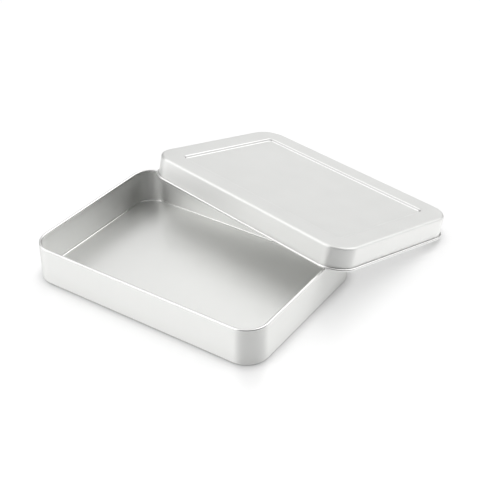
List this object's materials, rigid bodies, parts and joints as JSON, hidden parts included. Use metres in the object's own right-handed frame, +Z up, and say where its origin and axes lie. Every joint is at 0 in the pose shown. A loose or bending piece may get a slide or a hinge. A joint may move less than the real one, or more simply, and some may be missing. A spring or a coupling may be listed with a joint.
{
  "type": "slip lid tin",
  "caption": "Shallow rectangular bare tinplate tin: an open tray with a rolled rim, and its loose slip lid with a pressed panel, leaning on one end of the tray.",
  "frame": {"origin": "middle of the tray's flat underside, which stands on the table", "axes": "+X along the tray's long side, +Y towards the end where the lid lies, +Z up"},
  "size_m": [0.142, 0.1598, 0.0305],
  "materials": {
    "tray_tinplate": "satin bare tinplate",
    "lid_tinplate": "satin bare tinplate"
  },
  "bodies": {
    "root": {"tin_tray": "tray_tinplate", "tin_lid": "lid_tinplate"}
  },
  "joints": []
}
